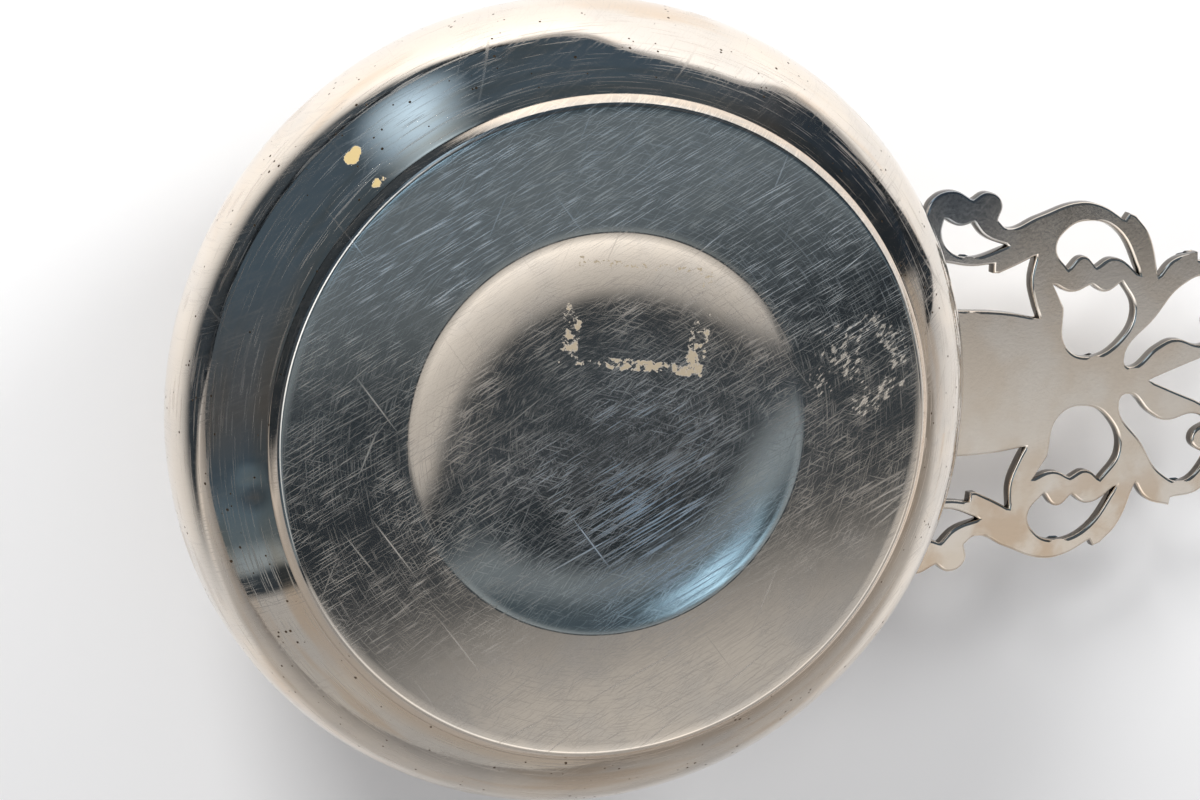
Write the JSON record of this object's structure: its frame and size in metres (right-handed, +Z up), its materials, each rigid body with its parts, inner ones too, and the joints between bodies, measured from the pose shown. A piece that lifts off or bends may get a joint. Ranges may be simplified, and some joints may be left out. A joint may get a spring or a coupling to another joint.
{
  "type": "porringer",
  "caption": "Shallow round silver bowl with a bulging wall, a domed foot and one flat pierced keyhole handle for holding or hanging it.",
  "frame": {"origin": "on the standing surface, under the middle of the object's box", "axes": "+X along the handle, away from the bowl; +Z up, out of the bowl's mouth"},
  "size_m": [0.203, 0.133, 0.0561],
  "materials": {
    "polished_silver": "polished silver, finely scratched and lightly tarnished",
    "cast_silver": "satin cast silver with a warm tarnish",
    "silver_solder": "dull silver solder"
  },
  "bodies": {
    "root": {"bowl": "polished_silver", "handle": "cast_silver", "solder_seam_centre": "silver_solder", "solder_seam_left": "silver_solder", "solder_seam_right": "silver_solder"}
  },
  "joints": []
}
